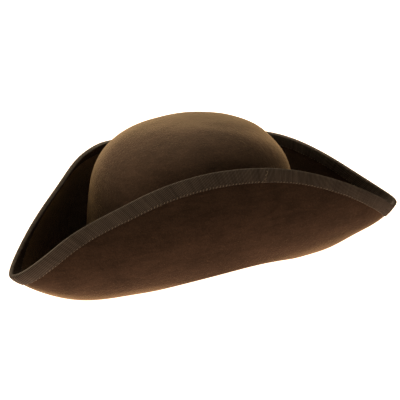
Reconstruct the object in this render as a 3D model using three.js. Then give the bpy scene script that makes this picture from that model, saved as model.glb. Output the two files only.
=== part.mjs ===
// A felt tricorn hat: a domed crown and a wide brim cocked up on three sides, with a
// ribbon bound over the brim's edge. Millimetres, +Z up, the front point towards -Y.
// The felt is one sheet. It is laid out flat around an oval crown, bent up over three
// fold lines, and given its wall on both sides of that middle surface.
import * as THREE from "three";

// The crown, measured at the middle of the felt.
const CROWN_HALF_LENGTH = 99.5;
const CROWN_HALF_WIDTH = 90.5;
const CROWN_HEIGHT = 124.5;
const CROWN_BREAK_RADIUS = 6; // bend from the brim into the crown's wall
const WALL_POWER = 3; // higher keeps the crown's wall upright for longer
const SHOULDER_POWER = 2.8; // higher makes the crown's shoulder squarer

// The felt, and the ribbon folded over its edge.
const FELT_WALL = 2.3;
const RIBBON_WALL = 0.8;
const RIBBON_GAP = 0.3;
const RIBBON_REACH = 12.5; // from the felt's edge to the end of each leg
const RIBBON_INNER = FELT_WALL / 2 + RIBBON_GAP; // from the middle of the felt
const RIBBON_OUTER = RIBBON_INNER + RIBBON_WALL;

// The brim laid flat, from the crown's foot to the felt's edge. The table holds the
// angle from the front point in degrees and the width there as a share of BRIM_WIDTH.
const BRIM_WIDTH = 119;
const BRIM_OUTLINE = [
  { fromFront: 0, share: 1 },
  { fromFront: 40, share: 0.85 },
  { fromFront: 117, share: 0.8 },
  { fromFront: 180, share: 0.71 },
];
const BRIM_SAG = 6.5; // the edge of the bent brim droops by this much

// The folds at the two sides and at the back. A fold line lies its stand-off outside the
// crown's foot and is bent over its radius through its angle. Bow curves the line, and
// twist closes the fold towards the front, both counted over one radius of line.
const SIDE_TURN = 18.7; // how far round towards the front the side folds face
const SIDE_STAND_OFF = 14;
const SIDE_RADIUS = 76;
const SIDE_ANGLE = 116;
const SIDE_BOW = 0.052;
const SIDE_TWIST = 5.8;
const BACK_STAND_OFF = 5;
const BACK_RADIUS = 73;
const BACK_ANGLE = 96;
const BACK_BOW = -0.05;
const SIDE_FOLD = {
  standOff: SIDE_STAND_OFF,
  radius: SIDE_RADIUS,
  angle: SIDE_ANGLE,
  bow: SIDE_BOW,
  twist: SIDE_TWIST,
};
const BACK_FOLD = {
  standOff: BACK_STAND_OFF,
  radius: BACK_RADIUS,
  angle: BACK_ANGLE,
  bow: BACK_BOW,
  twist: 0,
};
const FOLDS = [
  { facing: -SIDE_TURN, ...SIDE_FOLD },
  { facing: 180 + SIDE_TURN, ...SIDE_FOLD },
  { facing: 90, ...BACK_FOLD },
];
const BEND_STEPS = 24;

// Where hands pull the felt further. A pull is centred on one ring and on its angles in
// degrees, and fades over its reach in rings and its spread in degrees. It moves the felt
// out from the crown's foot and up.
const PULLS = [
  { at: [-32, 212], spread: 30, ring: 10.5, reach: 3.5, out: 0, up: -4 },
  { at: [-90], spread: 28, ring: 4.5, reach: 2.5, out: 0, up: 2 },
  { at: [38, 142], spread: 22, ring: 5.5, reach: 2.2, out: 0, up: 3 },
  { at: [-90], spread: 14, ring: 0, reach: 2.5, out: 2.5, up: -3 },
  { at: [-115, -65], spread: 18, ring: 0, reach: 4, out: -4, up: 0 },
  { at: [90], spread: 400, ring: 14.3, reach: 1.8, out: -1.8, up: 0 },
  { at: [90], spread: 400, ring: 17.3, reach: 2.5, out: 1.6, up: 0.2 },
  { at: [90], spread: 400, ring: 21.5, reach: 2.5, out: 0, up: -1.5 },
  { at: [38, 142], spread: 14, ring: 1, reach: 2, out: 0, up: -2 },
];

// Where the hat rests, this much of the felt's lowest side is pressed up flat.
const REST_FLAT = 1.6;

// Mesh: stations around the hat, crowded towards the three points, and rings from the
// edge of the brim to the top of the crown.
const STATIONS = 90;
const CROWDING = 0.7;
const BOUND_RINGS = 2;
const BRIM_RINGS = 8;
const BREAK_RINGS = 3;
const CROWN_RINGS = 9;
const BREAK_START = BOUND_RINGS + BRIM_RINGS;
const CROWN_START = BREAK_START + BREAK_RINGS;
const TOP_RING = CROWN_START + CROWN_RINGS;
const NOSE_STEPS = 4; // facets of the ribbon round the felt's edge

const QUARTER = Math.PI / 2;
const FRONT = -QUARTER; // the angle of -Y, counted from +X
const { degToRad, lerp } = THREE.MathUtils;

// The angle of one station; the sine brings stations closer at the three points.
function stationAngle(station) {
  const even = (2 * Math.PI * station) / STATIONS;
  return FRONT + even - (CROWDING / 3) * Math.sin(3 * even);
}

// A point of the crown's oval foot.
function ovalPoint(angle) {
  const reach =
    1 / Math.hypot(Math.cos(angle) / CROWN_HALF_WIDTH, Math.sin(angle) / CROWN_HALF_LENGTH);
  return new THREE.Vector2(Math.cos(angle), Math.sin(angle)).multiplyScalar(reach);
}

// The level direction square to the oval at one of its points.
function ovalOutward(point) {
  return new THREE.Vector2(
    point.x / CROWN_HALF_WIDTH ** 2,
    point.y / CROWN_HALF_LENGTH ** 2,
  ).normalize();
}

// The brim's flat width, eased from row to row of its outline.
function brimWidth(angle) {
  const turned = THREE.MathUtils.euclideanModulo(angle - FRONT, 2 * Math.PI);
  const degrees = THREE.MathUtils.radToDeg(Math.min(turned, 2 * Math.PI - turned));
  const next = Math.max(1, BRIM_OUTLINE.findIndex((row) => row.fromFront >= degrees));
  const [a, b] = [BRIM_OUTLINE[next - 1], BRIM_OUTLINE[next]];
  const part = (degrees - a.fromFront) / (b.fromFront - a.fromFront);
  return BRIM_WIDTH * lerp(a.share, b.share, (1 - Math.cos(Math.PI * part)) / 2);
}

// How far bending moves a point that lies `past` the fold line: across the line, and up.
// The slope eases in and out over the bend's length.
function bend(past, angle, radius) {
  const length = radius * angle;
  const start = -length / 2;
  const curved = THREE.MathUtils.clamp(past - start, 0, length);
  const step = curved / BEND_STEPS;
  let across = 0;
  let up = 0;
  for (let i = 0; i < BEND_STEPS; i += 1) {
    const part = ((i + 0.5) * step) / length;
    const slope = angle * part * part * (3 - 2 * part);
    across += step * Math.cos(slope);
    up += step * Math.sin(slope);
  }
  const straight = Math.max(past - start - length, 0);
  across += straight * Math.cos(angle) - curved - straight;
  up += straight * Math.sin(angle);
  return { across, up };
}

// How far the three folds together move a point of the flat sheet. Along counts towards
// the back of the hat, in radii of the fold.
function cock(flat) {
  const moved = new THREE.Vector3();
  for (const { facing, standOff, radius, angle, bow, twist } of FOLDS) {
    const c = Math.cos(degToRad(facing));
    const s = Math.sin(degToRad(facing));
    const line = Math.hypot(CROWN_HALF_WIDTH * c, CROWN_HALF_LENGTH * s) + standOff;
    const along = ((flat.y * c - flat.x * s) * Math.sign(c)) / radius;
    const past = flat.x * c + flat.y * s - line + bow * radius * along * along;
    const { across, up } = bend(past, degToRad(angle - twist * along), radius);
    moved.add(new THREE.Vector3(across * c, across * s, up));
  }
  return moved;
}

// The felt's section along one station: how far out from the crown's foot and how high
// each ring lies. A ring may be a fraction, or below 0 for what lies beyond the edge.
function section(angle, ring) {
  const width = brimWidth(angle);
  if (ring <= BOUND_RINGS) {
    return { out: width - (RIBBON_REACH * ring) / BOUND_RINGS, rise: 0 };
  }
  if (ring <= BREAK_START) {
    const part = (ring - BOUND_RINGS) / BRIM_RINGS;
    return { out: lerp(width - RIBBON_REACH, CROWN_BREAK_RADIUS, part), rise: 0 };
  }
  if (ring <= CROWN_START) {
    const turn = ((ring - BREAK_START) / BREAK_RINGS) * QUARTER;
    return {
      out: CROWN_BREAK_RADIUS * (1 - Math.sin(turn)),
      rise: CROWN_BREAK_RADIUS * (1 - Math.cos(turn)),
    };
  }
  const foot = Math.asin((CROWN_BREAK_RADIUS / CROWN_HEIGHT) ** (WALL_POWER / 2));
  const climb = lerp(foot, QUARTER, (ring - CROWN_START) / CROWN_RINGS);
  return { out: 0, rise: CROWN_HEIGHT * Math.sin(climb) ** (2 / WALL_POWER) };
}

// How far the pulls together move the felt: out, and up.
function pulled(angle, ring) {
  const move = { out: 0, up: 0 };
  for (const pull of PULLS) {
    const across = Math.exp(-(((ring - pull.ring) / pull.reach) ** 2));
    for (const at of pull.at) {
      const off = THREE.MathUtils.radToDeg(angle) - at + 180;
      const turned = THREE.MathUtils.euclideanModulo(off, 360) - 180;
      const share = across * Math.exp(-((turned / pull.spread) ** 2));
      move.out += share * pull.out;
      move.up += share * pull.up;
    }
  }
  return move;
}

// A point of the felt's middle surface. The crown's foot moves with the bent brim, and
// that movement fades out towards the crown's top.
function middle(angle, ring) {
  const { out, rise } = section(angle, ring);
  const level = rise / CROWN_HEIGHT;
  const shrink = (1 - level ** WALL_POWER) ** (1 / SHOULDER_POWER);
  const foot = ovalPoint(angle);
  const square = ovalOutward(foot);
  const outward = square.clone().multiplyScalar(out);
  const moved = cock(foot.clone().add(outward)).multiplyScalar(1 - level);
  const sag = BRIM_SAG * (out / brimWidth(angle)) ** 2;
  const pull = pulled(angle, ring);
  const flat = foot.multiplyScalar(shrink).add(outward).addScaledVector(square, pull.out);
  return new THREE.Vector3(flat.x, flat.y, rise - sag + pull.up).add(moved);
}

// A point `off` the middle surface, counted up from the brim and out from the crown.
function skin(angle, ring, off) {
  const nudge = 0.01;
  const around = middle(angle + nudge, ring).sub(middle(angle - nudge, ring));
  const along = middle(angle, ring + nudge).sub(middle(angle, ring - nudge));
  return middle(angle, ring).addScaledVector(around.cross(along).normalize(), off);
}

// The triangles of a net of rows by columns whose rows close on themselves. A crossed
// column splits its squares along the other diagonal.
function netFaces(rows, columns, columnsClose, crossed = () => false) {
  const faces = [];
  const lastColumn = columnsClose ? columns : columns - 1;
  for (let i = 0; i < rows; i += 1) {
    for (let j = 0; j < lastColumn; j += 1) {
      const here = i * columns;
      const next = ((i + 1) % rows) * columns;
      const k = (j + 1) % columns;
      const [a, b, c, d] = [here + j, next + j, next + k, here + k];
      faces.push(...(crossed(j) ? [a, b, d, b, c, d] : [a, b, c, a, c, d]));
    }
  }
  return faces;
}

function geometryOf(points, faces) {
  const geometry = new THREE.BufferGeometry().setFromPoints(points);
  geometry.setIndex(faces);
  geometry.computeVertexNormals();
  return geometry;
}

// The felt: its upper net from the edge to the crown's top, its under net back to the
// edge, a fan at each side of the top, and the cut edge between the nets.
function feltGeometry() {
  const half = FELT_WALL / 2;
  const upper = [];
  const under = [];
  for (let station = 0; station < STATIONS; station += 1) {
    const angle = stationAngle(station);
    for (let ring = 0; ring < TOP_RING; ring += 1) {
      upper.push(skin(angle, ring, half));
      under.push(skin(angle, ring, -half));
    }
  }
  const rest = Math.min(...under.map((point) => point.z)) + REST_FLAT;
  for (const point of under) point.z = Math.max(point.z, rest);
  for (const point of upper) point.z = Math.max(point.z, rest + FELT_WALL);

  const count = upper.length;
  const top = middle(FRONT, TOP_RING);
  const points = [...upper, ...under];
  points.push(top.clone().setZ(top.z + half), top.clone().setZ(top.z - half));
  const net = netFaces(STATIONS, TOP_RING, false);
  const faces = [...net];
  for (let i = 0; i < net.length; i += 3) {
    faces.push(net[i] + count, net[i + 2] + count, net[i + 1] + count);
  }
  for (let station = 0; station < STATIONS; station += 1) {
    const here = station * TOP_RING;
    const next = ((station + 1) % STATIONS) * TOP_RING;
    faces.push(here, here + count, next + count, here, next + count, next);
    const [a, b] = [here + TOP_RING - 1, next + TOP_RING - 1];
    faces.push(a, b, 2 * count, a + count, 2 * count + 1, b + count);
  }
  return geometryOf(points, faces);
}

// The ribbon's section: a leg on each face of the felt and a rounded nose round its
// edge. Inward counts from the felt's edge towards the crown, off from its middle.
function ribbonSection() {
  const nose = RIBBON_GAP + RIBBON_WALL;
  const half = RIBBON_REACH / BOUND_RINGS;
  const loop = [
    { inward: RIBBON_REACH, off: RIBBON_OUTER },
    { inward: half, off: RIBBON_OUTER },
  ];
  for (let i = 0; i <= NOSE_STEPS; i += 1) {
    const turn = QUARTER - (Math.PI * i) / NOSE_STEPS;
    loop.push({ inward: -nose * Math.cos(turn), off: RIBBON_OUTER * Math.sin(turn) });
  }
  loop.push(
    { inward: half, off: -RIBBON_OUTER },
    { inward: RIBBON_REACH, off: -RIBBON_OUTER },
    { inward: RIBBON_REACH, off: -RIBBON_INNER },
    { inward: half, off: -RIBBON_INNER },
    { inward: -RIBBON_GAP, off: -RIBBON_INNER },
    { inward: -RIBBON_GAP, off: RIBBON_INNER },
    { inward: half, off: RIBBON_INNER },
    { inward: RIBBON_REACH, off: RIBBON_INNER },
  );
  return loop;
}

// Inside its lower leg the section runs back outward, so its squares are crossed there
// to lie along the felt's own.
function ribbonGeometry() {
  const loop = ribbonSection();
  const points = [];
  for (let station = 0; station < STATIONS; station += 1) {
    const angle = stationAngle(station);
    for (const { inward, off } of loop) {
      points.push(skin(angle, (inward / RIBBON_REACH) * BOUND_RINGS, off));
    }
  }
  const crossed = (column) => loop[column].off === -RIBBON_INNER;
  return geometryOf(points, netFaces(STATIONS, loop.length, true, crossed).reverse());
}

const hat = new THREE.Group();
hat.name = "tricorn_hat";

const felt = new THREE.Mesh(
  feltGeometry(),
  new THREE.MeshStandardMaterial({ color: 0x4b3322, roughness: 0.95, metalness: 0 }),
);
felt.name = "felt_body";
hat.add(felt);

const binding = new THREE.Mesh(
  ribbonGeometry(),
  new THREE.MeshStandardMaterial({ color: 0x3a3426, roughness: 0.8, metalness: 0 }),
);
binding.name = "brim_binding";
hat.add(binding);

// The hat stands on z = 0 with the middle of its outline over the origin.
const box = new THREE.Box3().setFromObject(hat);
const centre = box.getCenter(new THREE.Vector3());
hat.position.set(-centre.x, -centre.y, -box.min.z);

export default hat;
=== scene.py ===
# %% [markdown]
# # A felt tricorn hat
#
# The hat is one piece of wool felt. Its crown is domed over a block, its brim is left
# wide and flat, and the brim is then cocked: bent up on three sides so that it leaves a
# point at the front and one at each back corner. A grosgrain ribbon is folded over the
# brim's edge and stitched down.
#
# This lesson loads the plain measured model first. Every length below is in metres, in
# that model's frame: +Z is up, the front point looks towards -Y, and the hat rests on
# z = 0.

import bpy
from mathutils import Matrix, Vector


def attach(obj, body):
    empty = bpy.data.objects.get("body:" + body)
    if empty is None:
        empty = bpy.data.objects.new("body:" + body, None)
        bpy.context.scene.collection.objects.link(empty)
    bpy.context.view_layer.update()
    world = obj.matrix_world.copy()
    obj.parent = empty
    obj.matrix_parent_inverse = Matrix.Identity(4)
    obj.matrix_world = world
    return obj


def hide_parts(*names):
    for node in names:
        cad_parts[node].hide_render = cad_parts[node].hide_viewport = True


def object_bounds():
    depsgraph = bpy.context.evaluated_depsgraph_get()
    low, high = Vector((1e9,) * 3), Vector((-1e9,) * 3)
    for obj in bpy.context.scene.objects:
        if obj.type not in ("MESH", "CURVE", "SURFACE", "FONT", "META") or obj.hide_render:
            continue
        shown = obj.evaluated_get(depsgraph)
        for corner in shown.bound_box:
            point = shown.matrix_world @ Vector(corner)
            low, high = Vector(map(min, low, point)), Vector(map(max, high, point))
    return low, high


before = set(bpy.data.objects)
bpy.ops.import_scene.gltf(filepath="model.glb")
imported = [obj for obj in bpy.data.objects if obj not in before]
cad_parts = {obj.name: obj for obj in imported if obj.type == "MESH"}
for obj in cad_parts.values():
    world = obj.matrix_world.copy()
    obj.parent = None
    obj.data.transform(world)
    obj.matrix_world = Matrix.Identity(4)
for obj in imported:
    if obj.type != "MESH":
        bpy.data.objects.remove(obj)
cad_low, cad_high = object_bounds()
print("measured model", [round(high - low, 4) for low, high in zip(cad_low, cad_high)])

import bpy
import numpy as np
from mathutils import Matrix, Vector

SEED = 58
PI = np.pi
MM = 0.001
rng = np.random.default_rng(SEED)

# %% [markdown]
# ## The sizes of the hat
#
# A hat is drawn from a few sizes: the head's oval, the height of the crown, the width of
# the brim, and where each side is bent. The measured model was made from the same named
# sizes, so the detailed hat comes out in the same place with nothing to fit by eye. Only
# the ribbon is thinner here and lies closer to the felt, as real ribbon does.

# %% Crown, felt and ribbon
CROWN_HALF_LENGTH = 99.5 * MM
CROWN_HALF_WIDTH = 90.5 * MM
CROWN_HEIGHT = 124.5 * MM
CROWN_BREAK_RADIUS = 6 * MM
WALL_POWER = 3
SHOULDER_POWER = 2.8
FELT_WALL = 2.3 * MM
RIBBON_WALL = 0.6 * MM
RIBBON_GAP = 0.1 * MM
RIBBON_REACH = 12.5 * MM
RIBBON_OUTER = FELT_WALL / 2 + RIBBON_GAP + RIBBON_WALL

# %% Brim and folds
BRIM_WIDTH = 119 * MM
BRIM_SAG = 6.5 * MM
BRIM_OUTLINE = [
    {"from_front": 0, "share": 1},
    {"from_front": 40, "share": 0.85},
    {"from_front": 117, "share": 0.8},
    {"from_front": 180, "share": 0.71},
]
SIDE = {"stand_off": 14 * MM, "radius": 76 * MM, "angle": 116, "bow": 0.052, "twist": 5.8}
BACK = {"stand_off": 5 * MM, "radius": 73 * MM, "angle": 96, "bow": -0.05, "twist": 0}
FOLDS = [
    {"facing": -18.7, "mirror": 1, **SIDE},
    {"facing": 198.7, "mirror": -1, **SIDE},
    {"facing": 90, "mirror": 1, **BACK},
]
FLAPS = len(FOLDS)
FRONT = -PI / 2
print("brim, laid flat:", [round(row["share"] * BRIM_WIDTH, 4) for row in BRIM_OUTLINE])

# %% [markdown]
# ## The sheet of felt
#
# Real felt starts as a flat brim round a domed crown. The functions below do the same:
# they lay the brim out flat round an oval, then bend it over three fold lines. Because
# they work on whole arrays of points at once, a fine net of many thousand points takes
# hardly longer than a coarse one.
#
# A place on the felt is given by its angle round the crown and by its ring, a running
# number from the brim's edge (0) to the top of the crown (22). Rings 0 to 2 lie under the
# ribbon, 10 to 13 turn the corner at the crown's foot, and the rest climb the crown.

# %% Rings of the felt
EDGE = 0
BOUND_END = 2
BREAK_START = 10
CROWN_START = 13
TOP = 22
print("rings", EDGE, "to", TOP, "and the crown's wall starts at ring", CROWN_START)


# %% The oval foot of the crown, and the brim's flat width
def oval_foot(angle):
    across = np.cos(angle) / CROWN_HALF_WIDTH
    along = np.sin(angle) / CROWN_HALF_LENGTH
    foot = np.stack([np.cos(angle), np.sin(angle)], -1) / np.hypot(across, along)[..., None]
    outward = foot / np.array([CROWN_HALF_WIDTH**2, CROWN_HALF_LENGTH**2])
    return foot, outward / np.linalg.norm(outward, axis=-1, keepdims=True)


def brim_width(angle):
    turned = np.mod(angle - FRONT, 2 * PI)
    degrees = np.degrees(np.minimum(turned, 2 * PI - turned))
    share = np.ones_like(degrees)
    for a, b in zip(BRIM_OUTLINE, BRIM_OUTLINE[1:]):
        part = np.clip((degrees - a["from_front"]) / (b["from_front"] - a["from_front"]), 0, 1)
        share += (b["share"] - a["share"]) * (1 - np.cos(PI * part)) / 2
    return BRIM_WIDTH * share


# %% [markdown]
# ### Bending the brim
#
# A fold in thick felt is never a sharp crease. The sheet turns through its angle along a
# curve that starts and ends gently. The function below walks along that curve in short
# steps and tells how far it carries a point across and up. The three folds are added
# together, and each may bow and twist along its line, as a flap bent by hand does.

# %% Bending the brim over its fold lines
BEND_STEPS = 24


def bend(past, angle, radius):
    length = radius * angle
    curved = np.clip(past + length / 2, 0, length)
    step = curved / BEND_STEPS
    across = -curved
    up = np.zeros_like(past)
    for i in range(BEND_STEPS):
        part = (i + 0.5) * step / length
        slope = angle * part * part * (3 - 2 * part)
        across = across + step * np.cos(slope)
        up = up + step * np.sin(slope)
    straight = np.maximum(past - length / 2, 0)
    return across + straight * (np.cos(angle) - 1), up + straight * np.sin(angle)


def cock(flat):
    moved = np.zeros(flat.shape[:-1] + (3,))
    for fold in FOLDS:
        c = np.cos(np.radians(fold["facing"]))
        s = np.sin(np.radians(fold["facing"]))
        line = np.hypot(CROWN_HALF_WIDTH * c, CROWN_HALF_LENGTH * s) + fold["stand_off"]
        along = fold["mirror"] * (flat[..., 1] * c - flat[..., 0] * s) / fold["radius"]
        past = flat[..., 0] * c + flat[..., 1] * s - line
        past = past + fold["bow"] * fold["radius"] * along**2
        across, up = bend(past, np.radians(fold["angle"] - fold["twist"] * along), fold["radius"])
        moved += np.stack([across * c, across * s, up], -1)
    return moved


# %% [markdown]
# ### The section of the felt
#
# Seen in section, the brim runs in flat, turns up round a small corner, and climbs into
# the dome. The dome is a superellipse: like an ellipse, but with powers above two, so
# that the wall stands steeper and the shoulder is fuller, as over a wooden hat block.

# %% The section of the felt, from the brim's edge to the crown's top
def section(angle, ring):
    width = brim_width(angle)
    bound = width - RIBBON_REACH * ring / BOUND_END
    part = (ring - BOUND_END) / (BREAK_START - BOUND_END)
    brim = (width - RIBBON_REACH) * (1 - part) + CROWN_BREAK_RADIUS * part
    turn = np.clip((ring - BREAK_START) / (CROWN_START - BREAK_START), 0, 1) * PI / 2
    corner = CROWN_BREAK_RADIUS * (1 - np.sin(turn))
    foot = np.arcsin((CROWN_BREAK_RADIUS / CROWN_HEIGHT) ** (WALL_POWER / 2))
    part = np.clip((ring - CROWN_START) / (TOP - CROWN_START), 0, 1)
    climb = foot + (PI / 2 - foot) * part
    wall = CROWN_HEIGHT * np.sin(climb) ** (2 / WALL_POWER)
    out = np.where(ring <= BOUND_END, bound, np.where(ring <= BREAK_START, brim, corner))
    rise = np.where(ring <= CROWN_START, CROWN_BREAK_RADIUS * (1 - np.cos(turn)), wall)
    return out, rise


# %% [markdown]
# ## Bent by hand
#
# The even folds give the plan of the hat, and hands finish it. The felt is pressed down
# beside the head opening, its three points are curled up a little from underneath, the
# front point is drawn out and down, and the flaps next to it are drawn in. The crown is
# drawn in at its foot and filled out above it. Each row below is one such pull: the
# angles and the ring where it is centred, how far it reaches, and how far it moves the
# felt out and up.
#
# The rows at -55, 15, -172, 150 and 38 alone are on one side only. They leave the hat a
# little uneven, as a worn one is: its flaps sit lower in three places, the crown is
# fuller at one shoulder, and one back corner is rounder than the other. The measured
# model leaves these rows out, and its crown is a millimetre flatter on top.

# %% Pulls of the hand
ALL_ROUND = 400
PULLS = [
    {"at": (-32, 212), "spread": 30, "ring": 10.5, "reach": 3.5, "out": 0, "up": -4 * MM},
    {"at": (-90,), "spread": 28, "ring": 4.5, "reach": 2.5, "out": 0, "up": 2 * MM},
    {"at": (38, 142), "spread": 22, "ring": 5.5, "reach": 2.2, "out": 0, "up": 3 * MM},
    {"at": (-90,), "spread": 14, "ring": 0, "reach": 2.5, "out": 2.5 * MM, "up": -3 * MM},
    {"at": (-115, -65), "spread": 18, "ring": 0, "reach": 4, "out": -4 * MM, "up": 0},
    {"at": (-55,), "spread": 18, "ring": 0, "reach": 4, "out": 0, "up": -1.5 * MM},
    {"at": (15,), "spread": 14, "ring": 0, "reach": 4, "out": 0, "up": -2.5 * MM},
    {"at": (-172,), "spread": 16, "ring": 0, "reach": 4, "out": 0, "up": -3.5 * MM},
    {"at": (90,), "spread": ALL_ROUND, "ring": 14.3, "reach": 1.8, "out": -1.8 * MM, "up": 0},
    {"at": (90,), "spread": ALL_ROUND, "ring": 17.3, "reach": 2.5, "out": 1.6 * MM, "up": 0.2 * MM},
    {"at": (90,), "spread": ALL_ROUND, "ring": 21.5, "reach": 2.5, "out": 0, "up": -0.2 * MM},
    {"at": (150,), "spread": 48, "ring": 18.3, "reach": 2.2, "out": 1.4 * MM, "up": 1.8 * MM},
    {"at": (38, 142), "spread": 14, "ring": 1, "reach": 2, "out": 0, "up": -2 * MM},
    {"at": (38,), "spread": 15, "ring": 0, "reach": 3, "out": 1.6 * MM, "up": 0},
    {"at": (38,), "spread": 5, "ring": 0, "reach": 3, "out": -2.6 * MM, "up": -2.2 * MM},
]


def pulled(angle, ring):
    _, outward = oval_foot(angle)
    move = np.zeros(np.broadcast(angle, ring).shape + (3,))
    for pull in PULLS:
        along = np.exp(-(((ring - pull["ring"]) / pull["reach"]) ** 2))
        for at in pull["at"]:
            turned = np.mod(np.degrees(angle) - at + 180, 360) - 180
            share = along * np.exp(-((turned / pull["spread"]) ** 2))
            move[..., :2] += (share * pull["out"])[..., None] * outward
            move[..., 2] += share * pull["up"]
    return move


print(len(PULLS), "pulls")


# %% The middle of the felt, from flat brim to hat
def middle(angle, ring):
    out, rise = section(angle, ring)
    level = rise / CROWN_HEIGHT
    shrink = np.clip(1 - level**WALL_POWER, 0, 1) ** (1 / SHOULDER_POWER)
    foot, outward = oval_foot(angle)
    outward = outward * out[..., None]
    moved = cock(foot + outward) * (1 - level)[..., None]
    flat = foot * shrink[..., None] + outward
    sag = BRIM_SAG * (out / brim_width(angle)) ** 2
    return np.concatenate([flat, (rise - sag)[..., None]], -1) + moved + pulled(angle, ring)


# %% [markdown]
# ## Made by hand
#
# A hat that has been bent by hand is never quite true. A few long, low waves, under a
# millimetre high, run along the brim and round the crown. They are part of the surface
# function itself, so the ribbon and its stitches follow them without any extra work.
#
# The last function here is the one that every piece uses: a point at any distance off
# the middle of the felt, square to it. Two points a small nudge apart, taken both ways,
# give the surface's direction.

# %% Hand-made waves, and a point on either face of the felt
BRIM_WAVES = [
    {"around": 5, "phase": 1.1, "height": 0.55 * MM},
    {"around": 9, "phase": 2.3, "height": 0.35 * MM},
    {"around": 16, "phase": 0.6, "height": 0.2 * MM},
]
CROWN_WAVES = [
    {"around": 3, "phase": 0.4, "height": 0.5 * MM, "rings": 0.7},
    {"around": 5, "phase": 2.0, "height": 0.3 * MM, "rings": 1.3},
    {"around": 8, "phase": 1.2, "height": 0.2 * MM, "rings": 1.9},
]


def unevenness(angle, ring):
    brim_share = np.clip(1 - ring / BREAK_START, 0, 1)
    crown_share = np.sin(PI * np.clip((ring - BREAK_START) / (TOP - BREAK_START), 0, 1))
    lift = np.zeros(np.broadcast(angle, ring).shape)
    for wave in BRIM_WAVES:
        lift += brim_share * wave["height"] * np.sin(wave["around"] * angle + wave["phase"])
    for wave in CROWN_WAVES:
        turn = wave["around"] * angle + wave["phase"] + wave["rings"] * ring
        lift += crown_share * wave["height"] * np.sin(turn)
    return lift


def skin(angle, ring, off):
    angle, ring, off = np.broadcast_arrays(angle, ring, off)
    nudge = 0.01
    around = middle(angle + nudge, ring) - middle(angle - nudge, ring)
    along = middle(angle, ring + nudge) - middle(angle, ring - nudge)
    square = np.cross(around, along)
    square = square / np.linalg.norm(square, axis=-1, keepdims=True)
    return middle(angle, ring) + (off + unevenness(angle, ring))[..., None] * square


front_point = skin(np.array(FRONT), 0.0, 0.0)
print("the front point, before the hat is put in place:", np.round(front_point, 4).tolist())

# %% [markdown]
# ## From points to a mesh
#
# A net of points in rows and columns turns into four-sided faces by joining each point
# to its neighbours. The rows go once round the hat and close on themselves.

# %% Net of faces, and an object from points and faces
def net_faces(rows, columns, close_columns=False, first=0):
    i = np.arange(rows)[:, None]
    j = np.arange(columns if close_columns else columns - 1)[None, :]
    here = first + i * columns
    following = first + (i + 1) % rows * columns
    k = (j + 1) % columns
    return np.stack([here + j, following + j, following + k, here + k], -1).reshape(-1, 4)


def make_object(name, points, faces):
    mesh = bpy.data.meshes.new(name)
    mesh.from_pydata(points.tolist(), [], [list(face) for face in faces])
    mesh.validate()
    mesh.shade_smooth()
    thing = bpy.data.objects.new(name, mesh)
    bpy.context.collection.objects.link(thing)
    triangles = sum(len(p.vertices) - 2 for p in mesh.polygons)
    print(name, len(mesh.vertices), "points,", triangles, "triangles")
    return thing


# %% [markdown]
# ## The felt
#
# The felt's upper and lower faces are two nets, half a wall either side of the middle
# surface, joined at the cut edge. The stations of the nets crowd together at the three
# points of the hat, where the felt bends most.

# %% Stations round the hat, and rings across the felt
FELT_STATIONS = 384
CROWDING = 0.7
RING_STEPS = [
    {"from": EDGE, "to": BOUND_END, "steps": 3},
    {"from": BOUND_END, "to": BREAK_START, "steps": 32},
    {"from": BREAK_START, "to": CROWN_START, "steps": 8},
    {"from": CROWN_START, "to": TOP, "steps": 40},
]

even = 2 * PI * np.arange(FELT_STATIONS) / FELT_STATIONS
stations = FRONT + even - CROWDING / FLAPS * np.sin(FLAPS * even)
felt_rings = np.concatenate(
    [np.linspace(row["from"], row["to"], row["steps"], endpoint=False) for row in RING_STEPS]
)
print("a net of", len(stations), "stations by", len(felt_rings), "rings")

# %% [markdown]
# ### Pressed on the table
#
# Under its own weight the hat presses three small flats where it touches the table. A
# soft maximum does that: far above the table it changes nothing, and near it the felt
# levels out in a gentle curve instead of a hard crease.

# %% The felt's two faces
REST_FLAT = 1.6 * MM
REST_EASE = 0.8 * MM

upper = skin(stations[:, None], felt_rings[None, :], FELT_WALL / 2)
under = skin(stations[:, None], felt_rings[None, :], -FELT_WALL / 2)
rest = under[..., 2].min() + REST_FLAT


def press(height, floor):
    above = height - floor
    return floor + (above + np.sqrt(above**2 + REST_EASE**2)) / 2


under[..., 2] = press(under[..., 2], rest)
upper[..., 2] = press(upper[..., 2], rest + FELT_WALL)
print("lowest felt", round(float(under[..., 2].min()), 5), "rest plane", round(float(rest), 5))

# %% [markdown]
# ### The hat's place
#
# So far the crown's centre is at zero. The frame of the measured model has the middle of
# the hat's outline there instead, and the table at z = 0. One shift, the same for every
# piece, brings the detailed hat onto the measured one.

# %% The hat's place in the frame
rim = skin(stations, 0.0, 0.0)
middle_y = (rim[:, 1].min() + rim[:, 1].max()) / 2
frame_y = (cad_low[1] + cad_high[1]) / 2
PLACE = np.array([0, frame_y - middle_y, -under[..., 2].min()])
print("the crown's centre lies at y", round(float(PLACE[1]), 4))

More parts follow.
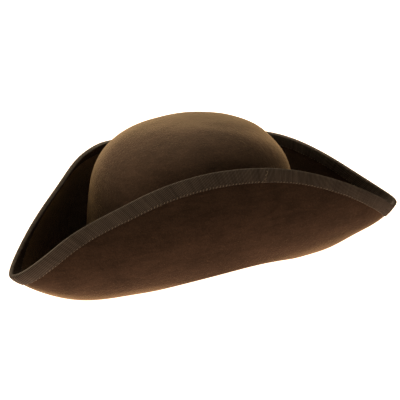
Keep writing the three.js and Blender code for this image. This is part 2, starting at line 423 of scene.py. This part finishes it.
# %% Join the two faces into the felt
top_point = middle(np.array(FRONT), np.array(float(TOP)))
count = upper[..., 0].size
columns = len(felt_rings)
felt_points = np.concatenate(
    [
        upper.reshape(-1, 3),
        under.reshape(-1, 3),
        [top_point + [0, 0, FELT_WALL / 2], top_point - [0, 0, FELT_WALL / 2]],
    ]
)
felt_points += PLACE
outside = net_faces(FELT_STATIONS, columns)
inside = net_faces(FELT_STATIONS, columns, first=count)[:, ::-1]
here = np.arange(FELT_STATIONS) * columns
following = np.roll(here, -1)
cut_edge = np.stack([here, here + count, following + count, following], -1)
last = columns - 1
outside_top = np.stack([here + last, following + last, np.full_like(here, 2 * count)], -1)
inside_top = np.stack(
    [following + last + count, here + last + count, np.full_like(here, 2 * count + 1)], -1
)
felt_faces = [*outside, *inside, *cut_edge, *outside_top, *inside_top]
felt = make_object("felt_crown_and_brim", felt_points, felt_faces)
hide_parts("felt_body")
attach(felt, "root")

# %% [markdown]
# ## The ribbon along the edge
#
# Grosgrain is a ribbon with close round ribs that run straight across it. On the hat it
# is folded in half over the edge and shows about the same width on both faces. The ribs
# must be evenly spaced along the edge, so the ribbon's stations are set by the length
# walked along the rim and not by angle.

# %% Walk along the rim
RIBS = 865
POINTS_PER_RIB = 5
WALK_STEPS = 20000

walk_angles = FRONT + 2 * PI * np.arange(WALK_STEPS + 1) / WALK_STEPS
walk = skin(walk_angles, 0.0, 0.0)
walked = np.concatenate([[0], np.cumsum(np.linalg.norm(np.diff(walk, axis=0), axis=-1))])
RIM_LENGTH = walked[-1]
RIB_PITCH = RIM_LENGTH / RIBS


def angle_at(length):
    return np.interp(np.mod(length, RIM_LENGTH), walked, walk_angles)


print("rim", round(float(RIM_LENGTH), 4), "m; one rib every", round(float(RIB_PITCH / MM), 2), "mm")

# %% [markdown]
# ### The ribbon's section
#
# The section runs from one leg, round the felt's edge, to the other leg, and each leg's
# end turns down to the felt. The rows below are in millimetres: how far in from the edge,
# how far off the middle of the felt, and how strongly the ribs show there.

# %% The section of the ribbon
NOSE_STEPS = 6
ROUNDING = 0.2
FULL = RIBBON_OUTER / MM
LEG = [
    {"inward": 12.55, "off": 1.16, "ribbed": 0.0},
    {"inward": 12.5, "off": FULL - ROUNDING, "ribbed": 0.7},
    {"inward": 11.9, "off": FULL, "ribbed": 1.0},
    {"inward": 8.0, "off": FULL, "ribbed": 1.0},
    {"inward": 4.0, "off": FULL, "ribbed": 1.0},
    {"inward": 0.6, "off": FULL, "ribbed": 1.0},
]
section_rows = [(row["inward"], row["off"], row["ribbed"]) for row in LEG]
nose = (RIBBON_GAP + RIBBON_WALL) / MM
for step in range(1, NOSE_STEPS):
    turn = PI / 2 - PI * step / NOSE_STEPS
    section_rows.append((-nose * np.cos(turn), FULL * np.sin(turn), 1.0))
section_rows += [(row["inward"], -row["off"], row["ribbed"]) for row in reversed(LEG)]
INNER_FACE = {"inward": -0.1, "off": 1.18}
section_rows += [(INNER_FACE["inward"], side * INNER_FACE["off"], 0.0) for side in (-1, 1)]
inward, face_off, ribbed = np.array(section_rows).T
inward = inward * MM
face_off = face_off * MM
print("the ribbon's section has", len(inward), "points")

# %% [markdown]
# ### Ribs, and a fold made by hand
#
# Woven ribs aren't all alike, so each gets a strength of its own, drawn at random, which
# the ribbon's colour uses later. Nor is the fold quite in the middle of the ribbon: along
# each flap one leg is a tenth wider, and at the points of the hat the other is.

# %% Ribs and fold
RIB_HEIGHT = 0.25 * MM
RIB_UNEVEN = 0.1
FAINTEST_RIB = 0.3
STRONGEST_RIB = 1.6
FOLD_SHARE = 0.1
FLAP_MIDDLE = -PI / 6


def rib_profile(length):
    return np.sin(PI * length / RIB_PITCH) ** 2


rib_strength = np.clip(1 + RIB_UNEVEN * rng.normal(0, 1, RIBS), FAINTEST_RIB, STRONGEST_RIB)
print("rib strength from", round(rib_strength.min(), 2), "to", round(rib_strength.max(), 2))


def rib_tone(length):
    return np.interp(length / RIB_PITCH, np.arange(RIBS) + 0.5, rib_strength)


def fold_stretch(angle, off):
    return 1 - np.sign(off) * FOLD_SHARE * np.cos(FLAPS * (angle - FLAP_MIDDLE))


# %% [markdown]
# ### The join and the dimples
#
# Besides the ribs, two things change the ribbon's thickness along the rim. At the join
# one end of the ribbon is turned under and laid over the other on a slant, so there is a
# step up that fades out again. And every stitch pulls a small dimple.

# %% The join
JOIN_AT = 0.225
JOIN_SLANT = 4.9 * MM
JOIN_LAP = 13 * MM
JOIN_HEIGHT = 0.6 * MM
JOIN_STEP = 0.4 * MM
JOIN_FADE = 5 * MM


def join_line(inward):
    return JOIN_AT * RIM_LENGTH + JOIN_SLANT * (0.5 - inward / RIBBON_REACH)


def join_profile(length, inward):
    past = length - join_line(inward)
    step_up = np.clip(past / JOIN_STEP, 0, 1)
    fade = np.clip((JOIN_LAP - past) / JOIN_FADE, 0, 1)
    return step_up * fade * fade * (3 - 2 * fade)


print("the join lies", round(float(join_line(0)), 3), "m along the rim from the front point")

# %% The dimples, and the ribbon's distance from the felt
STITCH_PITCH = 3.2 * MM
STITCH_LINE = 12.1 * MM
DIMPLE_LENGTH = 0.8 * MM
DIMPLE_WIDTH = 0.9 * MM
DIMPLE_DEPTH = 0.25 * MM
stitches_round = int(round(RIM_LENGTH / STITCH_PITCH))
stitch_pitch = RIM_LENGTH / stitches_round
print(stitches_round, "stitches, one every", round(float(stitch_pitch / MM), 2), "mm")


def dimple(length, inward):
    along = (np.mod(length / stitch_pitch + 0.5, 1) - 0.5) * stitch_pitch
    across = inward - STITCH_LINE
    return np.exp(-((along / DIMPLE_LENGTH) ** 2) - (across / DIMPLE_WIDTH) ** 2)


def ribbon_off(length, inward, off, ribbed):
    relief = ribbed * RIB_HEIGHT * (rib_profile(length) - 0.5)
    relief = relief + np.minimum(ribbed * 2, 1) * JOIN_HEIGHT * join_profile(length, inward)
    relief = relief - ribbed * DIMPLE_DEPTH * dimple(length, inward)
    return off + np.sign(off) * relief


# %% The ribbon's mesh
lengths = np.arange(RIBS * POINTS_PER_RIB) * RIB_PITCH / POINTS_PER_RIB
at_angle = angle_at(lengths)[:, None]
share_of_fold = fold_stretch(at_angle, face_off[None, :])
at_ring = (inward / RIBBON_REACH * BOUND_END)[None, :] * share_of_fold
ribbon_offs = ribbon_off(lengths[:, None], inward[None, :], face_off[None, :], ribbed[None, :])
ribbon_points = skin(at_angle, at_ring, ribbon_offs) + PLACE
ribbon_faces = net_faces(len(lengths), len(inward), close_columns=True)[:, ::-1]
ribbon = make_object("ribbon_binding", ribbon_points.reshape(-1, 3), ribbon_faces)
# The rib height is kept for the ribbon's colour, which paints shade in the grooves and a highlight
# on the crests.
stored_height = ribbon.data.attributes.new("rib_height", "FLOAT", "POINT")
rib_values = ribbed[None, :] * (rib_profile(lengths) * rib_tone(lengths))[:, None]
stored_height.data.foreach_set("value", rib_values.reshape(-1).astype(np.float32))
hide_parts("brim_binding")
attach(ribbon, "root")

# %% [markdown]
# ## The stitches
#
# A row of short slanted stitches holds the ribbon near the end of each leg, and a few
# longer ones zigzag over it at the join. Each stitch is a thread that comes up through
# the ribbon, lies over it and goes down into the felt. One function sweeps any number of
# them at once, each a thin tube along a small arch. Where a stitch runs past the end of
# the ribbon's leg, its seat steps down onto the felt.

# %% A thread swept along a small arch
THREAD_RADIUS = 0.22 * MM
ARCH_STEPS = 5
ARCH_TOP = 0.9
ARCH_DROP = 9
TUBE_SIDES = 5
SEAT_LEAD = 0.4 * MM
SEAT_EASE = 0.7 * MM

share = np.linspace(-0.5, 0.5, ARCH_STEPS)[None, :]


def thread_tubes(along, across, face, lift):
    beyond = np.clip((across - RIBBON_REACH + SEAT_LEAD) / SEAT_EASE, 0, 1)
    seat = RIBBON_OUTER + (FELT_WALL / 2 - RIBBON_OUTER) * beyond * beyond * (3 - 2 * beyond)
    height = seat + lift + THREAD_RADIUS * (ARCH_TOP - ARCH_DROP * share**2)
    held = angle_at(along)
    at_rings = across / RIBBON_REACH * BOUND_END * fold_stretch(held, face)
    centre = skin(held, at_rings, face * height)
    tangent = np.gradient(centre, axis=1)
    tangent /= np.linalg.norm(tangent, axis=-1, keepdims=True)
    normal = skin(held, at_rings, face * (height + MM)) - centre
    normal /= np.linalg.norm(normal, axis=-1, keepdims=True)
    side = np.cross(tangent, normal)
    turn = (2 * PI * np.arange(TUBE_SIDES) / TUBE_SIDES)[:, None]
    around = np.cos(turn) * side[:, :, None] + np.sin(turn) * normal[:, :, None]
    return centre[:, :, None] + THREAD_RADIUS * around


print("a stitch is a tube of", ARCH_STEPS, "by", TUBE_SIDES, "points")

# %% [markdown]
# ### Rows and zigzag
#
# The needle is guided by hand, so each stitch starts a little early or late and slants a
# little more or less. On the inner face of the brim (1) the thread is drawn deeper into
# the ribbon than on the outer face (-1), and hardly shows there.

# %% Stitches on both faces
STITCH_LENGTH = 1.5 * MM
STITCH_SLANT = 0.9 * MM
START_STRAY = 0.04
SLANT_STRAY = 0.15
TACKS = 5
TACK_START = 3.4 * MM
TACK_STEP = 1.9 * MM
TACK_WIDTH = 2.2 * MM
SUNK = 0.2 * MM

rows_of_thread = []
for face, lift in ((1, -SUNK), (-1, 0)):
    stray = rng.normal(0, START_STRAY, stitches_round)
    starts = (np.arange(stitches_round) + stray) * stitch_pitch
    slants = STITCH_SLANT * (1 + rng.normal(0, SLANT_STRAY, stitches_round))
    along = starts[:, None] + STITCH_LENGTH * share
    across = STITCH_LINE - slants[:, None] * share
    rows_of_thread.append(thread_tubes(along, across, face, lift))
    ahead = np.where(np.arange(TACKS) % 2, -1, 1)[:, None]
    across = (TACK_START + TACK_STEP * np.arange(TACKS))[:, None] + TACK_STEP * share
    along = join_line(across) + TACK_WIDTH * ahead * share
    rows_of_thread.append(thread_tubes(along, across, face, lift + JOIN_HEIGHT / 2))
tubes = np.concatenate(rows_of_thread) + PLACE
print(len(tubes), "stitches in all")

# %% Join the points of every tube into faces
one_tube = []
for i in range(ARCH_STEPS - 1):
    for k in range(TUBE_SIDES):
        a = i * TUBE_SIDES + k
        b = i * TUBE_SIDES + (k + 1) % TUBE_SIDES
        one_tube.append([a, b, b + TUBE_SIDES, a + TUBE_SIDES])
one_tube = np.array(one_tube)
per_stitch = ARCH_STEPS * TUBE_SIDES
stitch_faces = [one_tube + per_stitch * i for i in range(len(tubes))]
stitches = make_object("binding_stitches", tubes.reshape(-1, 3), np.concatenate(stitch_faces))
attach(stitches, "root")


# %% [markdown]
# ## Finishes
#
# A material in Blender is a small graph of nodes. The helpers below each add one node,
# fill in its inputs and wire up the ones that come from other nodes, so that a material
# reads as a recipe. An input is named by its label, or by i and its number where several
# inputs of a node share a label.

# %% Add one node
def fill(tree, socket, value):
    if isinstance(value, bpy.types.NodeSocket):
        tree.links.new(value, socket)
    else:
        socket.default_value = value


def add(tree, kind, settings=None, **inputs):
    node = tree.nodes.new(kind)
    for name, value in (settings or {}).items():
        setattr(node, name, value)
    for name, value in inputs.items():
        numbered = name[0] == "i" and name[1:].isdigit()
        label = int(name[1:]) if numbered else name.replace("_", " ")
        fill(tree, node.inputs[label], value)
    return node


# %% Mix, scale and stretch values
def mix_colour(tree, factor, first, second):
    node = add(tree, "ShaderNodeMix", {"data_type": "RGBA"}, i0=factor, i6=first, i7=second)
    return node.outputs[2]


def mix_value(tree, factor, first, second):
    return add(tree, "ShaderNodeMix", i0=factor, i2=first, i3=second).outputs[0]


def scaled(tree, vector, amount):
    settings = {"operation": "SCALE"}
    return add(tree, "ShaderNodeVectorMath", settings, i0=vector, Scale=amount).outputs[0]


def remap(tree, value, low, high, new_low=0.0, new_high=1.0, settings=None):
    inputs = {"i0": value, "i1": low, "i2": high, "i3": new_low, "i4": new_high}
    return add(tree, "ShaderNodeMapRange", settings, **inputs).outputs[0]


# %% Noise of a real size, and a bump of a real depth
def per_metre(tree, size):
    settings = {"operation": "DIVIDE"}
    return add(tree, "ShaderNodeMath", settings, i0=1.0, i1=size).outputs[0]


def noise(tree, place, scale, detail, roughness, distortion):
    look = {"Detail": detail, "Roughness": roughness, "Distortion": distortion}
    return add(tree, "ShaderNodeTexNoise", Vector=place, Scale=scale, **look).outputs[0]


def bump(tree, height, strength, depth, over=None):
    node = add(tree, "ShaderNodeBump", Strength=strength, Distance=depth, Height=height)
    if over is not None:
        tree.links.new(over, node.inputs["Normal"])
    return node.outputs[0]


# %% [markdown]
# ### Effects that several materials share
#
# The felt, the ribbon and the thread are all made of fibres, so they share effects: the
# grain of the fibres in all three, and the cloudy tone of the dye in the first two. Each
# effect is a node group with named inputs and outputs, built once and placed in each
# material with that material's own sizes.

# %% A new group with named sockets
def new_group(name, inputs, outputs):
    group = bpy.data.node_groups.new(name, "ShaderNodeTree")
    for label, kind, default in inputs:
        socket = group.interface.new_socket(label, in_out="INPUT", socket_type=kind)
        if default is not None:
            socket.default_value = default
    for label, kind in outputs:
        group.interface.new_socket(label, in_out="OUTPUT", socket_type=kind)
    print("group", name, "puts out", [label for label, kind in outputs])
    entry = group.nodes.new("NodeGroupInput").outputs
    result = group.nodes.new("NodeGroupOutput").inputs
    return group, entry, result


# %% [markdown]
# ### Cloudy dye
#
# Dyed wool is never one flat colour. Soft clouds a few centimetres across, finer ones
# inside them, and faint bands that follow the way the nap was brushed all shift its tone
# a little. The bands come from stretching the pattern: squeezed in height, a round cloud
# turns into a level streak.

# %% Group: cloudy dye
dye_group, dye_in, dye_out = new_group(
    "cloudy dye",
    [
        ("Place", "NodeSocketVector", None),
        ("Cloud Size", "NodeSocketFloat", 0.03),
        ("Band Stretch", "NodeSocketFloat", 5.0),
        ("Band Share", "NodeSocketFloat", 0.4),
    ],
    [("Tone", "NodeSocketFloat")],
)
dye_scale = per_metre(dye_group, dye_in["Cloud Size"])
stretch = add(dye_group, "ShaderNodeCombineXYZ", X=1.0, Y=1.0, Z=dye_in["Band Stretch"])
stretched = add(
    dye_group, "ShaderNodeVectorMath", {"operation": "MULTIPLY"},
    i0=dye_in["Place"], i1=stretch.outputs[0],
)
clouds = noise(
    dye_group, dye_in["Place"], dye_scale, detail=5.0, roughness=0.6, distortion=0.3
)
bands = noise(
    dye_group, stretched.outputs[0], dye_scale, detail=4.0, roughness=0.65, distortion=1.2
)
both = mix_value(dye_group, dye_in["Band Share"], clouds, bands)
dye_group.links.new(remap(dye_group, both, low=0.3, high=0.7), dye_out["Tone"])

# %% [markdown]
# ### Wool grain
#
# Close up, felt is a tangle of short fibres. Two layers of fine noise stand for the
# tangle: one the size of a tuft and one the size of a fibre. A third, warped into thin
# lines and cut off high, leaves the few loose hairs that catch the light.

# %% Group: wool grain
grain_group, grain_in, grain_out = new_group(
    "wool grain",
    [
        ("Place", "NodeSocketVector", None),
        ("Tuft Size", "NodeSocketFloat", 0.0025),
        ("Fibre Size", "NodeSocketFloat", 0.0007),
        ("Hair Share", "NodeSocketFloat", 0.68),
    ],
    [("Height", "NodeSocketFloat"), ("Tufts", "NodeSocketFloat"), ("Hairs", "NodeSocketFloat")],
)
tuft_scale = per_metre(grain_group, grain_in["Tuft Size"])
fibre_scale = per_metre(grain_group, grain_in["Fibre Size"])
tufts = noise(
    grain_group, grain_in["Place"], tuft_scale, detail=3.0, roughness=0.6, distortion=0.8
)
fibres = noise(
    grain_group, grain_in["Place"], fibre_scale, detail=2.0, roughness=0.6, distortion=2.0
)
hair_lines = noise(
    grain_group, grain_in["Place"], tuft_scale, detail=1.0, roughness=0.5, distortion=5.0
)
hairs = remap(grain_group, hair_lines, low=grain_in["Hair Share"], high=0.85)
grain_group.links.new(mix_value(grain_group, 0.5, tufts, fibres), grain_out["Height"])
grain_group.links.new(tufts, grain_out["Tufts"])
grain_group.links.new(hairs, grain_out["Hairs"])


# %% [markdown]
# ### The start of every material
#
# Each material starts in the same way: a Principled shader wired to the output, and the
# piece's own coordinates. Those are in metres, so a cloud of 0.03 is three centimetres
# wide on the hat, however far away the camera stands.

# %% Start a material, place a group in it, and set its shader
def start_material(name):
    material = bpy.data.materials.new(name)
    material.use_nodes = True
    tree = material.node_tree
    tree.nodes.clear()
    output = tree.nodes.new("ShaderNodeOutputMaterial")
    shader = tree.nodes.new("ShaderNodeBsdfPrincipled")
    tree.links.new(shader.outputs[0], output.inputs["Surface"])
    place = tree.nodes.new("ShaderNodeTexCoord").outputs["Object"]
    print("material", name)
    return material, tree, shader, place


def use_group(tree, group, **inputs):
    return add(tree, "ShaderNodeGroup", {"node_tree": group}, **inputs).outputs


def set_shader(tree, shader, **inputs):
    for name, value in inputs.items():
        fill(tree, shader.inputs[name.replace("_", " ")], value)


# %% [markdown]
# ### The felt's finish
#
# Felt is matt, with a fuzz of fine hairs that stands off it. Where the light skims
# through the fuzz, at the edges of what one sees, it glows: the sheen of the Principled
# shader gives that glow, and a paler colour mixed into the base there adds a painted
# sheen on top of it. Layer Weight tells how far a spot is turned away.
#
# The base colour carries the dye, the grain and the painted sheen. Two bumps lie one over
# the other: the soft lumps that wet felt dries into, about a centimetre apart, and the
# tangle of fibres.

# %% Material: brown wool felt
FELT_DARK = (0.0205, 0.0106, 0.0058, 1)
FELT_LIGHT = (0.052, 0.0278, 0.0168, 1)
FELT_HAIR = (0.18, 0.11, 0.055, 1)
# Colour of the painted sheen, mixed in where the felt turns away from view.
FELT_PAINTED_SHEEN = (0.2, 0.14, 0.078, 1)
HAIR_COVER = 0.7
PAINTED_SHEEN_COVER = 0.6
PAINTED_SHEEN_START = 0.6

felt_finish, tree, shader, place = start_material("brown wool felt")
dye = use_group(tree, dye_group, Place=place, Cloud_Size=0.03, Band_Stretch=5.0, Band_Share=0.45)
grain = use_group(
    tree, grain_group, Place=place, Tuft_Size=0.0015, Fibre_Size=0.0006, Hair_Share=0.66
)
lumps = use_group(tree, grain_group, Place=place, Tuft_Size=0.01, Fibre_Size=0.004)
dyed = mix_colour(tree, dye["Tone"], FELT_DARK, FELT_LIGHT)
tuft_tone = remap(tree, grain["Tufts"], low=0.3, high=0.7, new_low=0.8, new_high=1.2)
hair_amount = add(
    tree, "ShaderNodeMath", {"operation": "MULTIPLY"}, i0=grain["Hairs"], i1=HAIR_COVER
)
haired = mix_colour(tree, hair_amount.outputs[0], scaled(tree, dyed, tuft_tone), FELT_HAIR)
# Painted sheen: the base colour turns paler where the surface is turned away from view.
turned_away = add(tree, "ShaderNodeLayerWeight", Blend=0.5).outputs["Facing"]
painted_sheen = remap(tree, turned_away, low=PAINTED_SHEEN_START, high=1.0, new_high=PAINTED_SHEEN_COVER)
lumpy = bump(tree, lumps["Height"], strength=0.6, depth=1.5 * MM)
set_shader(
    tree, shader,
    Base_Color=mix_colour(tree, painted_sheen, haired, FELT_PAINTED_SHEEN),
    Normal=bump(tree, grain["Height"], strength=0.5, depth=0.5 * MM, over=lumpy),
    Roughness=0.95, Specular_IOR_Level=0.1,
    Sheen_Weight=0.45, Sheen_Roughness=0.3, Sheen_Tint=(1.0, 0.62, 0.32, 1),
)
felt.data.materials.append(felt_finish)

# %% [markdown]
# ### The ribbon's finish
#
# The ribbon is a drab olive brown, a shade greyer than the felt. The ribs themselves are
# in its mesh. Their height was stored on the points, so the colour paints shade into the
# grooves, near black, and a painted highlight on the crests, a little lighter.

# %% Material: ribbed ribbon
# Painted shade for the grooves, and the ribbon's own brown with a painted highlight for the crests.
RIBBON_PAINTED_GROOVE_SHADE = (0.001, 0.0007, 0.0005, 1)
RIBBON_CREST_WITH_HIGHLIGHT = (0.121, 0.09, 0.07, 1)
STRONGEST_CREST_HIGHLIGHT = 1.2

ribbon_finish, tree, shader, place = start_material("ribbed ribbon")
dye = use_group(tree, dye_group, Place=place, Cloud_Size=0.02, Band_Stretch=1.0, Band_Share=0.2)
grain = use_group(tree, grain_group, Place=place, Tuft_Size=0.0012, Fibre_Size=0.0004)
rib = add(tree, "ShaderNodeAttribute", {"attribute_name": "rib_height"}).outputs["Fac"]
# Painted light: dark grooves and lighter crests follow the stored rib height.
crest_highlight = remap(tree, rib, low=0.05, high=STRONGEST_CREST_HIGHLIGHT, new_high=STRONGEST_CREST_HIGHLIGHT)
rib_shade_and_highlight = mix_colour(tree, crest_highlight, RIBBON_PAINTED_GROOVE_SHADE, RIBBON_CREST_WITH_HIGHLIGHT)
dye_tone = remap(tree, dye["Tone"], low=0.0, high=1.0, new_low=0.82, new_high=1.18)
set_shader(
    tree, shader,
    Base_Color=scaled(tree, rib_shade_and_highlight, dye_tone),
    Normal=bump(tree, grain["Height"], strength=0.35, depth=0.3 * MM),
    Roughness=0.8, Specular_IOR_Level=0.08,
    Sheen_Weight=0.05, Sheen_Roughness=0.45, Sheen_Tint=(1.0, 0.8, 0.6, 1),
)
ribbon.data.materials.append(ribbon_finish)

# %% [markdown]
# ### The thread's finish
#
# The thread is a lighter brown than what it sews, and its strands are a little glossier
# than wool. At this size the grain group draws the strands: only its sizes change.

# %% Material: sewing thread
THREAD_DARK = (0.11, 0.075, 0.048, 1)
THREAD_LIGHT = (0.3, 0.21, 0.135, 1)

thread_finish, tree, shader, place = start_material("sewing thread")
grain = use_group(tree, grain_group, Place=place, Tuft_Size=0.0008, Fibre_Size=0.0003)
set_shader(
    tree, shader,
    Base_Color=mix_colour(tree, grain["Tufts"], THREAD_DARK, THREAD_LIGHT),
    Normal=bump(tree, grain["Height"], strength=0.3, depth=0.1 * MM),
    Roughness=0.6,
)
stitches.data.materials.append(thread_finish)

# %% [markdown]
# ## The camera
#
# The photograph was taken from the hat's front left, a little above it, with a long lens
# and the hat tipped a few degrees in the frame. The camera is set by those same words:
# an azimuth, an elevation, a roll, a distance, and the point that it looks at.

# %% Camera
AZIMUTH = 43.6
ELEVATION = 17.2
ROLL = -3.85
DISTANCE = 1.7
LENS = 173.8
SENSOR_WIDTH = 36
LOOK_AT = Vector((0.0, 0.0455, 0.0589))
AIM_SHIFT = Vector((0.0070, 0.0039, -0.0065))

a, e, r = np.radians([AZIMUTH, ELEVATION, ROLL])
back = Vector((np.sin(a) * np.cos(e), -np.cos(a) * np.cos(e), np.sin(e)))
spot = LOOK_AT + DISTANCE * back
back = (spot - LOOK_AT - AIM_SHIFT).normalized()
level = Vector((0, 0, 1)).cross(back).normalized()
across = Matrix.Rotation(r, 3, back) @ level
up = back.cross(across)
camera_data = bpy.data.cameras.new("camera")
camera_data.lens = LENS
camera_data.sensor_width = SENSOR_WIDTH
camera = bpy.data.objects.new("camera", camera_data)
camera.matrix_world = Matrix((across, up, back)).transposed().to_4x4()
camera.location = spot
bpy.context.collection.objects.link(camera)
bpy.context.scene.camera = camera
print("camera", [round(c, 3) for c in camera.location])

# %% [markdown]
# ## Floor and light
#
# The hat was photographed on white, lit softly from above and behind, with little light
# from the camera's side. The light that reaches it from below is warm, so the felt's
# lower edge glows orange, though the white behind it is pure.
#
# A round table that glows by itself gives both. To the camera it is plain white. To the
# hat it is a warm pool of light at the hat's right side that fades towards the rim of
# the table. The Light Path node tells the two apart.

# %% Floor
FLOOR_RADIUS = 6.0
FLOOR_SIDES = 96
FLOOR_GAP = 0.2 * MM
FLOOR_COLOUR = (0.3, 0.3, 0.3, 1)
POOL_CENTRE = (-0.2, 0.0, 0.0)
POOL_INNER = 0.2
POOL_OUTER = 0.9
POOL_FADED = 0.04
POOL_COLOUR = (1, 0.77, 0.6)
POOL_STRENGTH = 2.12

turns = 2 * PI * np.arange(FLOOR_SIDES) / FLOOR_SIDES
floor_points = FLOOR_RADIUS * np.stack([np.cos(turns), np.sin(turns), 0 * turns], -1)
floor_points[:, 2] -= FLOOR_GAP
floor = make_object("floor", floor_points, [list(range(FLOOR_SIDES))])
floor_finish, tree, shader, place = start_material("white table")
from_pool = add(
    tree, "ShaderNodeVectorMath", {"operation": "DISTANCE"}, i0=place, i1=POOL_CENTRE
)
pool = remap(
    tree, from_pool.outputs["Value"], low=POOL_INNER, high=POOL_OUTER,
    new_low=1.0, new_high=POOL_FADED, settings={"interpolation_type": "SMOOTHSTEP"},
)
seen = add(tree, "ShaderNodeLightPath").outputs["Is Camera Ray"]
glow = scaled(tree, POOL_COLOUR, mix_value(tree, seen, pool, 1.0))
set_shader(
    tree, shader,
    Base_Color=FLOOR_COLOUR, Roughness=0.9,
    Emission_Color=glow, Emission_Strength=POOL_STRENGTH,
)
floor.data.materials.append(floor_finish)

# %% [markdown]
# ### The white surround
#
# The surround is the world itself. It is brightest high up on the hat's right and fades
# to nothing on the other side. A dot product says how near each direction is to the
# bright one. The camera sees the surround as plain white.

# %% The white surround
SKY_COLOUR = (1, 0.9, 0.68, 1)
SKY_SEEN = (1, 1, 1, 1)
SKY_BRIGHT = 2.6
SKY_TOWARDS = Vector((-0.83, 0.25, 0.62)).normalized()

world = bpy.data.worlds.new("white surround")
bpy.context.scene.world = world
world.use_nodes = True
tree = world.node_tree
tree.nodes.clear()
direction = add(tree, "ShaderNodeTexCoord").outputs["Generated"]
facing = add(
    tree, "ShaderNodeVectorMath", {"operation": "DOT_PRODUCT"},
    i0=direction, i1=tuple(SKY_TOWARDS),
)
glow = remap(tree, facing.outputs["Value"], low=0.22, high=0.95, new_high=SKY_BRIGHT)
seen = add(tree, "ShaderNodeLightPath").outputs["Is Camera Ray"]
strength = mix_value(tree, seen, glow, 1.0)
tint = mix_colour(tree, seen, SKY_COLOUR, SKY_SEEN)
surround = add(tree, "ShaderNodeBackground", Color=tint, Strength=strength)
output = tree.nodes.new("ShaderNodeOutputWorld")
tree.links.new(surround.outputs[0], output.inputs["Surface"])
print("world", world.name)

# %% [markdown]
# ### Two soft lamps
#
# A large soft lamp, high up on the hat's right, draws the light rim along the crown's
# top. A low, wide and weak one in front lifts the ribbon and its stitches near the front
# point. Both are warm.

# %% Soft lamps
LAMP_COLOUR = (1, 0.91, 0.73)
LAMPS = [
    {
        "name": "overhead_softbox", "place": (-0.75, 0.35, 1.15), "aim": (0, 0.05, 0.08),
        "size": (1.0, 1.0), "power": 18,
    },
    {
        "name": "left_softbox", "place": (-0.6, -1.3, 0.12), "aim": (0, -0.1, 0.05),
        "size": (0.8, 0.25), "power": 8,
    },
]
for row in LAMPS:
    light = bpy.data.lights.new(row["name"], "AREA")
    light.shape = "RECTANGLE"
    light.size, light.size_y = row["size"]
    light.energy = row["power"]
    light.color = LAMP_COLOUR
    lamp = bpy.data.objects.new(row["name"], light)
    lamp.location = row["place"]
    beam = Vector(row["aim"]) - Vector(row["place"])
    lamp.rotation_euler = beam.to_track_quat("-Z", "Y").to_euler()
    bpy.context.collection.objects.link(lamp)
    print("lamp", row["name"], row["power"], "watts")

# %% [markdown]
# ## The view transform
#
# The plain white of the set needs the plain view transform, which keeps white as white.

# %% View transform
bpy.context.scene.view_settings.view_transform = "Standard"
